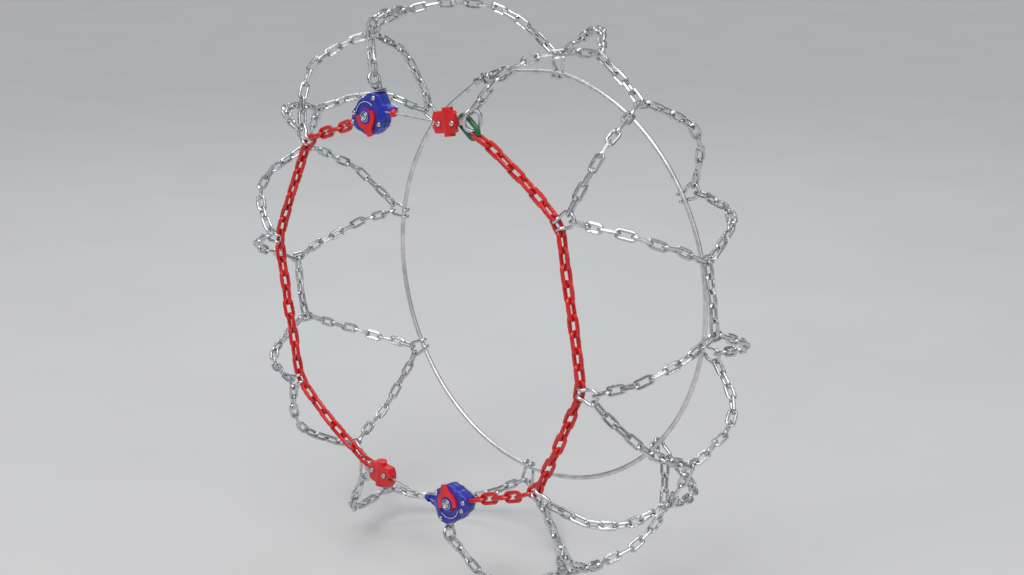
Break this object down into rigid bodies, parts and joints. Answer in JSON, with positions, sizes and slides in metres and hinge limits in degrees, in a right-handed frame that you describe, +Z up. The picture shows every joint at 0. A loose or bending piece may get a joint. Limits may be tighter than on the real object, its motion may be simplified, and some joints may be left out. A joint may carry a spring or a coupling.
{
  "type": "tire snow chain",
  "caption": "Diamond-pattern tire chain in its fitted shape, with coloured side chains, locking ratchet tensioners, pull cables, a release hook and an inboard cable hoop.",
  "frame": {"origin": "wheel centre, on the tire's mid-plane", "axes": "+Y along the axle toward the inboard side, so the ratchets are at -Y; +Z up; +X completes the frame"},
  "size_m": [0.8002, 0.2672, 0.762],
  "materials": {
    "zinc_steel": "bright zinc plate on hardened steel",
    "cable_steel": "galvanised wire rope",
    "spring_steel": "oiled spring steel",
    "red_paint": "gloss red enamel",
    "green_paint": "gloss green enamel",
    "red_plastic": "moulded",
    "blue_plastic": "moulded"
  },
  "bodies": {
    "net": {"tread_chain_1": "zinc_steel", "tread_chain_2": "zinc_steel", "tread_chain_3": "zinc_steel", "tread_chain_4": "zinc_steel", "tread_chain_5": "zinc_steel", "tread_chain_6": "zinc_steel", "tread_chain_7": "zinc_steel", "tread_chain_8": "zinc_steel", "side_hook_1": "zinc_steel", "side_hook_2": "zinc_steel", "side_hook_3": "zinc_steel", "side_hook_4": "zinc_steel", "side_hook_5": "zinc_steel", "side_hook_6": "zinc_steel", "hoop_clip_1": "zinc_steel", "hoop_clip_2": "zinc_steel", "hoop_clip_3": "zinc_steel", "hoop_clip_4": "zinc_steel", "hoop_clip_5": "zinc_steel", "hoop_clip_6": "zinc_steel", "hoop_clip_7": "zinc_steel", "hoop_clip_8": "zinc_steel", "ratchet_1_eye_link": "zinc_steel", "ratchet_2_eye_link": "zinc_steel", "link_ring": "zinc_steel", "anchor_hook": "zinc_steel", "side_chain_1": "red_paint", "side_chain_2": "red_paint", "hoop_cable": "cable_steel", "ratchet_1_backplate": "zinc_steel", "ratchet_1_rear_case": "blue_plastic", "ratchet_1_front_case": "blue_plastic", "ratchet_1_clock_spring": "spring_steel", "ratchet_1_hub": "blue_plastic", "ratchet_1_axle": "zinc_steel", "ratchet_1_ferrule": "red_plastic", "ratchet_2_backplate": "zinc_steel", "ratchet_2_rear_case": "blue_plastic", "ratchet_2_front_case": "blue_plastic", "ratchet_2_clock_spring": "spring_steel", "ratchet_2_hub": "blue_plastic", "ratchet_2_axle": "zinc_steel", "ratchet_2_ferrule": "blue_plastic", "release_link": "green_paint"},
    "drum_1": {"ratchet_1_drum": "zinc_steel", "ratchet_1_winding": "cable_steel"},
    "lever_1": {"ratchet_1_lever": "red_plastic"},
    "pawl_1": {"ratchet_1_pawl": "zinc_steel"},
    "drum_2": {"ratchet_2_drum": "zinc_steel", "ratchet_2_winding": "cable_steel"},
    "lever_2": {"ratchet_2_lever": "red_plastic"},
    "pawl_2": {"ratchet_2_pawl": "zinc_steel"},
    "cable_1": {"pull_cable_1": "cable_steel"},
    "cable_2": {"pull_cable_2": "cable_steel", "anchor_housing": "red_plastic", "anchor_plate": "zinc_steel"},
    "hook": {"hook_housing": "red_plastic", "hook_tongue": "zinc_steel"},
    "strap": {"hoop_strap": "zinc_steel"}
  },
  "joints": [
    {"name": "lever_1_turn", "type": "hinge", "parent": "net", "child": "lever_1", "pos_m": [-0.07758, -0.1339, 0.24606], "axis": [0, 1, 0], "range_deg": [0, 60]},
    {"name": "pawl_1_turn", "type": "hinge", "parent": "net", "child": "pawl_1", "pos_m": [-0.07995, -0.129, 0.22696], "axis": [0, -1, 0], "range_deg": [0, 8]},
    {"name": "cable_1_pull", "type": "slide", "parent": "net", "child": "cable_1", "axis": [0.9996, 0, -0.0297], "range_m": [0, 0.0035], "stiffness_N_per_m": 150, "springref_m": -0.08},
    {"name": "drum_1_turn", "type": "hinge", "parent": "net", "child": "drum_1", "pos_m": [-0.07758, -0.127, 0.24606], "axis": [0, 1, 0], "range_deg": [0, 22.5]},
    {"name": "lever_2_turn", "type": "hinge", "parent": "net", "child": "lever_2", "pos_m": [0.06851, -0.1339, -0.24874], "axis": [0, 1, 0], "range_deg": [0, 60]},
    {"name": "pawl_2_turn", "type": "hinge", "parent": "net", "child": "pawl_2", "pos_m": [0.07158, -0.129, -0.22974], "axis": [0, -1, 0], "range_deg": [0, 8]},
    {"name": "cable_2_pull", "type": "slide", "parent": "net", "child": "cable_2", "axis": [-0.9942, 0, 0.108], "range_m": [0, 0.0038], "stiffness_N_per_m": 150, "springref_m": -0.08},
    {"name": "drum_2_turn", "type": "hinge", "parent": "net", "child": "drum_2", "pos_m": [0.06851, -0.127, -0.24874], "axis": [0, 1, 0], "range_deg": [0, 22.5]},
    {"name": "hook_swing", "type": "hinge", "parent": "cable_1", "child": "hook", "pos_m": [0.04866, -0.1264, 0.25222], "axis": [0.1444, 0, -0.9895], "range_deg": [0, 50]},
    {"name": "strap_swing", "type": "hinge", "parent": "net", "child": "strap", "pos_m": [-0.08193, 0.118, 0.27773], "axis": [0, -1, 0], "range_deg": [0, 50]}
  ],
  "couplings": [
    {"joint": "pawl_1_turn", "follows": "lever_1_turn", "ratio": 0.13},
    {"joint": "drum_1_turn", "follows": "cable_1_pull", "rad_per_m": 101.01},
    {"joint": "pawl_2_turn", "follows": "lever_2_turn", "ratio": 0.13},
    {"joint": "drum_2_turn", "follows": "cable_2_pull", "rad_per_m": 101.01}
  ]
}
